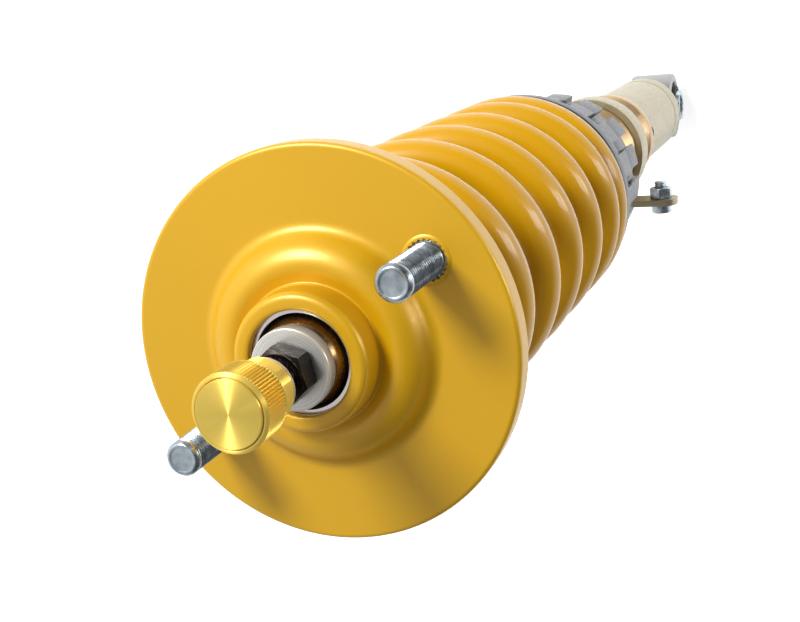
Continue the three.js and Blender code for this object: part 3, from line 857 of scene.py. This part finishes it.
def spring():
    """The coil spring: open coils between closed ends that are ground flat."""
    low, high = bottom("coil_spring"), top("coil_spring")
    wire_r = SPRING["wire_r"]
    mean_r = radius("spring_perch") + 1 - wire_r
    closed_rise = 2 * wire_r + SPRING["closed_gap"]
    lift = wire_r * SPRING["ground"]
    open_turns = (high - low - 2 * lift - 2 * closed_rise) / SPRING["pitch"]
    turns = open_turns + 2
    per_turn, around = 120, 40

    def height(t):
        """Height of the wire's centre, t turns up from its lower tip."""
        rise = closed_rise * min(t, 1) + min(max(t - 1, 0), open_turns) * SPRING["pitch"]
        return low + lift + rise + max(t - 1 - open_turns, 0) * closed_rise

    def centre(t):
        """The wire's centre, t turns up, with the change of pitch blended in."""
        blend = [0.03 * k for k in range(-8, 9)]
        z = sum(height(t + step) for step in blend) / len(blend)
        angle = math.radians(SPRING["phase"]) + (t - 0.25) * TAU
        return Vector((mean_r * math.cos(angle), mean_r * math.sin(angle), z))

    bm = bmesh.new()
    steps = round(turns * per_turn)
    rings = []
    for i in range(steps + 1):
        t = turns * i / steps
        middle = centre(t)
        along = (centre(t + 0.001) - centre(t - 0.001)).normalized()
        outward = Vector((middle.x, middle.y, 0)).normalized()
        outward = (outward - along * outward.dot(along)).normalized()
        upward = along.cross(outward)
        if upward.z < 0:
            upward = -upward
        end = min(i, steps - i)
        r = wire_r - 0.5 * max(0, 1 - end / 2) ** 2
        ring = []
        for k in range(around):
            a = TAU * k / around
            point = middle + outward * (r * math.cos(a)) + upward * (r * math.sin(a))
            point.z = min(max(point.z, low), high)
            ring.append(bm.verts.new(point * MM))
        rings.append(ring)
    for first, second in zip(rings, rings[1:]):
        for k in range(around):
            j = (k + 1) % around
            bm.faces.new((first[k], first[j], second[j], second[k]))
    bm.faces.new(rings[0])
    bm.faces.new(rings[-1][::-1])
    mesh = closed_mesh(bm)
    obj = piece("coil_spring_finish", mesh, "perch", "spring_yellow", ["coil_spring"], sharp=40)
    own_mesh(obj)


# ---------- perch and lock ring ----------
def slots(outer, low, high, count=16, depth=3.2, width=5.5, phase=48):
    """Cutters of evenly spaced spanner slots in a ring's outside."""
    cutters = []
    for k in range(count):
        slot = block((outer - depth, -width / 2, low), (outer + 6, width / 2, high))
        cutters.append(placed(bevelled(slot, 0.7, 3, 60), about("Z", phase + 360 * k / count)))
    return cutters


def perch():
    """The spring's lower seat, with a castellated hub on the sleeve's thread."""
    low, high = bottom("spring_perch"), top("spring_perch")
    r, bore, hub = radius("spring_perch"), radius("threaded_sleeve") + 0.3, 38.5
    seat = bottom("coil_spring") - 0.3
    flange = seat - 9
    section = [
        (bore, low, 0.5), (hub, low, 0.9), (hub, flange, 1.2), (r - 0.8, flange + 0.6, 0.9),
        (r, flange + 2.6, 1), (r, seat, 0.7), (31.8, seat, 0.5), (31, high, 0.8), (bore, high, 0.6),
    ]
    mesh = combined("DIFFERENCE", turned(section, 192), *slots(hub, low - 3, flange - 8))
    piece("spring_perch_finish", bevelled(mesh, 0.25, 2, 40), "perch", "perch_grey", ["spring_perch"])


def lock_ring():
    """The ring that locks the perch, slotted in line with it."""
    low, high = bottom("perch_lock_ring"), top("perch_lock_ring")
    r, bore = 37.5, radius("threaded_sleeve") + 0.3
    section = [(bore, low, 0.6), (r, low, 1.1), (r, high, 1.1), (bore, high, 0.6)]
    mesh = combined("DIFFERENCE", turned(section, 192), *slots(r, low - 3, high + 3))
    mesh = bevelled(mesh, 0.25, 2, 40)
    piece("perch_lock_ring_finish", mesh, "lock_ring", "perch_grey", ["perch_lock_ring"])


# ---------- damper body ----------
def sleeve():
    """The threaded sleeve, with a plain band at its foot."""
    low, high = bottom("threaded_sleeve"), top("threaded_sleeve")
    r, bore, pitch = radius("threaded_sleeve"), radius("damper_body") + 0.3, 2.0
    plain = 6
    thread_top = high - 1.5
    section = [
        (bore, low), (r, low, 0.6), *rows(r, low + plain, thread_top, pitch / 6), (r, high - 1.2, 0.2),
        (r - 0.8, high), (bore, high),
    ]
    screw = threaded(r, pitch, 0.85, low + plain, thread_top)
    mesh = turned(section, 120, ripple=screw)
    piece("threaded_sleeve_finish", mesh, "cylinder", "sleeve_gold", ["threaded_sleeve"], sharp=50)


def damper_body():
    """The damper's tube with a rolled groove near its foot, and the grub screw in its side."""
    low, high = bottom("damper_body"), top("damper_body")
    r, bore = radius("damper_body"), 18
    ring_low, ring_high = bottom("sleeve_circlip") - 0.3, top("sleeve_circlip") + 0.3
    closed_end = low + 10
    section = [
        (0, low), (r - 5, low, 0.8), (r - 1.2, low + 3, 2), (r, low + 6, 1), (r, low + 22, 0.3),
        (r - 0.35, low + 22.6, 0.2), (r - 0.35, low + 24.4, 0.2), (r, low + 25, 0.3),
        (r, ring_low), (r - 1, ring_low), (r - 1, ring_high), (r, ring_high),
        (r, high, 0.5), (bore, high, 0.3), (bore, closed_end, 0.5), (0, closed_end),
    ]
    screw_low, screw_high = span("body_grub_screw")
    place = (screw_low + screw_high) / 2
    angle = math.degrees(math.atan2(place.y, place.x))
    outward = at(0, 0, place.z) @ about("Z", angle) @ about("Y", 90)
    hole = placed(cylinder(2.8, 0, 9, 48), outward @ at(0, 0, r - 1.9))
    mesh = combined("DIFFERENCE", turned(section, 192, closed=False), hole)
    piece("damper_body_finish", mesh, "cylinder", "body_beige", ["damper_body"])
    screw = turned([
        (0, 0), (2.3, 0, 0.2), (2.5, 0.3, 0.2), (2.5, 2.2, 0.2), (2.2, 2.6, 0.1), (0, 2.6),
    ], 48, closed=False)
    socket = hexagon(2.5, 1.0, 4.0)
    screw = combined("DIFFERENCE", screw, socket)
    placed(screw, outward @ at(0, 0, r - 1.6))
    piece("body_grub_screw_finish", screw, "cylinder", "black_oxide", ["body_grub_screw"])


def gland():
    """The slotted gland nut that closes the tube, and the wiper seal in its mouth."""
    low, high = bottom("gland_nut"), top("gland_nut")
    flange_r, screw_r = radius("gland_nut"), radius("gland_nut") - 3.8
    bore, mouth_r, mouth_low = 8, 11.3, high - 4.5
    shoulder = top("damper_body") + 0.3
    section = [
        (bore, low), (screw_r, low, 0.4), (screw_r, shoulder), (flange_r, shoulder, 0.3),
        (flange_r, high, 0.9), (mouth_r, high, 0.4), (mouth_r, mouth_low), (bore, mouth_low),
    ]
    cuts = slots(flange_r, shoulder + 0.6, high + 2, count=6, depth=2.2, width=4.5, phase=20)
    mesh = combined("DIFFERENCE", turned(section, 144), *cuts)
    piece("gland_nut_finish", bevelled(mesh, 0.2, 2, 40), "cylinder", "perch_grey", ["gland_nut"])
    wiper_low, wiper_high = bottom("wiper_seal"), top("wiper_seal")
    wiper = turned([
        (7.3, wiper_low), (11, wiper_low), (11, wiper_high - 1, 0.4), (9.4, wiper_high - 0.8, 0.5),
        (8, wiper_high, 0.5), (7.2, wiper_high, 0.2),
    ], 96)
    piece("wiper_seal_finish", wiper, "cylinder", "rubber", ["wiper_seal"])


# ---------- lower eye ----------
def lower_eye():
    """The cast eye across the foot of the damper, with its rubber bush and steel sleeve."""
    low, high = span("lower_eye")
    r = high.y
    centre = low.z + r
    half = 13
    across = at(0, 0, centre) @ about("Y", 90)
    barrel = turned([(0, -half), (r, -half, 1.6), (r, half, 1.6), (0, half)], 128, closed=False)
    placed(barrel, across)
    neck = turned([
        (0, centre), (13, centre), (13.6, high.z - 12, 6), (15.5, high.z - 6, 4), (18.8, high.z - 2, 1.5),
        (18.8, high.z, 0.6), (0, high.z),
    ], 128, closed=False)
    rib = block((-3, -r + 3, centre + 4), (3, r - 3, high.z - 4))
    blank = cast(combined("UNION", barrel, neck, rib), 0.8, 10)
    bore_r, mouth_half = 14.8, half - 0.8
    bore = turned([
        (0, -20), (bore_r + 7, -20), (bore_r, -mouth_half), (bore_r, mouth_half), (bore_r + 7, 20),
        (0, 20),
    ], 128, closed=False)
    placed(bore, across)
    trim = [
        block((half, -30, low.z - 5), (half + 9, 30, high.z + 5)),
        block((-half - 9, -30, low.z - 5), (-half, 30, high.z + 5)),
    ]
    eye = combined("DIFFERENCE", blank, bore, *trim)
    piece("lower_eye_finish", eye, "cylinder", "eye_silver", ["lower_eye"], sharp=38)
    bush_half = (span("eye_bush")[1].x - span("eye_bush")[0].x) / 2
    bush_inner, lip_r, waist_r, bush_r = 9.3, 12.2, 12.8, 14.5
    bush = turned([
        (bush_inner, -bush_half, 0.3), (lip_r, -bush_half, 0.6), (waist_r, -half + 2, 0.6),
        (bush_r, -half + 0.6, 0.4), (bush_r, half - 0.6, 0.4), (waist_r, half - 2, 0.6),
        (lip_r, bush_half, 0.6), (bush_inner, bush_half, 0.3),
    ], 128)
    piece("eye_bush_finish", placed(bush, across), "cylinder", "rubber", ["eye_bush"])
    core_half = span("eye_sleeve")[1].x
    core_inner, core_r = 6.2, 9
    core = turned([
        (core_inner, -core_half, 0.5), (core_r, -core_half, 0.4), (core_r, core_half, 0.4),
        (core_inner, core_half, 0.5),
    ], 96)
    piece("eye_sleeve_finish", placed(core, across), "eye_core", "zinc", ["eye_sleeve"])


# ---------- hose bracket ----------
def hose_bracket():
    """A band round the sleeve with a strap beside it, and the bolt and nut through the strap."""
    low, high = span("hose_bracket")
    bore = radius("threaded_sleeve") + 0.3
    wall = 3
    strap_y = low.y + wall / 2
    bolt_low, bolt_high = span("hose_bracket_bolt")
    bolt_x, bolt_z = (bolt_low.x + bolt_high.x) / 2, (bolt_low.z + bolt_high.z) / 2
    half_width = (high.z - low.z) / 2
    band = tube(bore, bore + wall, low.z, high.z, 0.01, 160)
    corner = 6
    reach = high.x
    outline = [
        (0, -half_width), *arc_points(reach - corner, corner - half_width, corner, -90, 0),
        *arc_points(reach - corner, half_width - corner, corner, 0, 90), (0, half_width),
    ]
    upright = about("X", 90)
    place = at(bolt_x, strap_y, bolt_z) @ upright
    strap = placed(prism(outline, -wall / 2, wall / 2), at(0, strap_y, bolt_z) @ upright)
    core = cylinder(bore, low.z - 1, high.z + 1, 160)
    hole_r = 3.3
    hole = placed(cylinder(hole_r, -5, 5, 48), place)
    mesh = combined("DIFFERENCE", combined("UNION", band, strap), core, hole)
    piece("hose_bracket_finish", bevelled(mesh, 0.35, 3, 50), "cylinder", "body_beige", ["hose_bracket"])
    head_low = wall / 2 + 0.3
    head_high = strap_y - bolt_low.y
    tip = strap_y - bolt_high.y
    shank_r, head_r, pitch = 3, 5, 1.0
    shank_low, shank_high = tip + 0.6, head_low - 0.6
    section = [
        (0, tip), (2.4, tip, 0.2), *rows(shank_r, shank_low, shank_high, pitch / 8), (shank_r, head_low),
        (head_r, head_low, 0.3), (head_r, head_high, 0.6), (0, head_high),
    ]
    screw = threaded(shank_r, pitch, 0.5, shank_low, shank_high)
    bolt = turned(section, 72, closed=False, ripple=screw)
    bolt = combined("DIFFERENCE", bolt, hexagon(5, head_high - 2.4, head_high + 2))
    placed(bolt, place)
    piece("hose_bracket_bolt_finish", bolt, "cylinder", "zinc", ["hose_bracket_bolt"], sharp=45)
    nut_high = -wall / 2 - 0.3
    nut_low = strap_y - span("hose_bracket_nut")[1].y
    across = 9.9
    cone = turned([
        (0, nut_low), (across / 2 - 0.2, nut_low), (across / 2 + 0.9, nut_low + 0.6),
        (across / 2 + 0.9, nut_high), (0, nut_high),
    ], 96, closed=False)
    nut = combined("INTERSECT", hexagon(across, nut_low, nut_high), cone)
    nut = combined("DIFFERENCE", nut, cylinder(hole_r, nut_low - 1, nut_high + 1, 48))
    piece("hose_bracket_nut_finish", placed(nut, place), "cylinder", "zinc", ["hose_bracket_nut"])


def arc_points(x, y, r, start, end, count=10):
    """Points round part of a circle about (x, y), between two angles in degrees."""
    angles = [math.radians(start + (end - start) * k / count) for k in range(count + 1)]
    return [(x + r * math.cos(a), y + r * math.sin(a)) for a in angles]


# ---------- stage ----------
def floor():
    """A wide pale floor just under the part. It gives off light so that it stays as white as the room."""
    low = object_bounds()[0][2] / MM
    size = 6000
    mesh = prism([(-size, -size), (size, -size), (size, size), (-size, size)], low - 4, low - 0.2)
    obj = bpy.data.objects.new("floor", mesh)
    scene.collection.objects.link(obj)
    finish = Finish("floor_white", 0.0)
    finish.colour(finish.noise(0.6), srgb(252, 252, 252), srgb(248, 248, 248))
    finish.shader.inputs["Roughness"].default_value = 0.9
    finish.shader.inputs["Emission Color"].default_value = (1, 1, 1, 1)
    finish.shader.inputs["Emission Strength"].default_value = 0.6
    mesh.materials.append(finish.material)
    obj.visible_diffuse = False
    obj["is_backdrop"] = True


def softbox(name, direction, distance, size, power, target=(0, 0, -0.05)):
    """A rectangular lamp in metres and watts, facing the target from a direction."""
    light = bpy.data.lights.new(name, "AREA")
    light.shape = "RECTANGLE"
    light.size, light.size_y = size
    light.energy = power
    obj = bpy.data.objects.new(name, light)
    place = Vector(target) + direction.normalized() * distance
    obj.matrix_world = Matrix.Translation(place) @ direction.to_track_quat("Z", "Y").to_matrix().to_4x4()
    scene.collection.objects.link(obj)


def world():
    """A room that is brighter on the upper left of the picture, behind a plain white backdrop."""
    scene.world = bpy.data.worlds.new("studio")
    scene.world.use_nodes = True
    nodes, links = scene.world.node_tree.nodes, scene.world.node_tree.links
    room = nodes["Background"]
    coords = nodes.new("ShaderNodeTexCoord")
    dot = nodes.new("ShaderNodeVectorMath")
    dot.operation = "DOT_PRODUCT"
    dot.inputs[1].default_value = (view_up * 0.1 - view_right * 0.9 - view_back * 0.1).normalized()
    links.new(coords.outputs["Generated"], dot.inputs[0])
    ramp = nodes.new("ShaderNodeMapRange")
    for socket, number in zip(RANGE_SOCKETS, (-0.2, 0.9, 0.12, 0.95)):
        ramp.inputs[socket].default_value = number
    links.new(dot.outputs["Value"], ramp.inputs["Value"])
    links.new(ramp.outputs["Result"], room.inputs["Strength"])
    backdrop = nodes.new("ShaderNodeBackground")
    rays = nodes.new("ShaderNodeLightPath")
    mix = nodes.new("ShaderNodeMixShader")
    links.new(rays.outputs["Is Camera Ray"], mix.inputs["Fac"])
    links.new(room.outputs["Background"], mix.inputs[1])
    links.new(backdrop.outputs["Background"], mix.inputs[2])
    links.new(mix.outputs["Shader"], nodes["World Output"].inputs["Surface"])
    for background in (room, backdrop):
        background.inputs["Color"].default_value = (1, 1, 1, 1)


top_plate()
stud("stud_a", 1)
stud("stud_b", -1)
bearing()
circlip("bearing_circlip_finish", "bearing_circlip", "root", "black_oxide", 8, race_r - 1.5, 7)
top_washer()
top_nut()
housing()
knob()
rod()
spacer_and_cup()
upper_seat()
bump_stop()
spring()
perch()
lock_ring()
sleeve()
damper_body()
clip_r = radius("damper_body") - 0.7
circlip("sleeve_circlip_finish", "sleeve_circlip", "cylinder", "black_oxide", 10, clip_r, 8)
gland()
lower_eye()
hose_bracket()

# Inner parts that no view reaches keep their CAD shape and take their slot's material.
slot_of = {part["node"]: part["material_slot"] for part in frame["record"]["subparts"]}
for node, obj in frame["nodes"].items():
    if not obj.hide_render:
        obj.data.materials.clear()
        obj.data.materials.append(materials[slot_of[node]])

floor()
world()
softbox("key", view_up * 0.42 - view_right * 0.65 + view_back * 0.63, 1.2, (0.36, 0.36), 15)
softbox("side", view_right * 0.88 + view_up * 0.22 + view_back * 0.41, 1.2, (0.3, 0.9), 6)
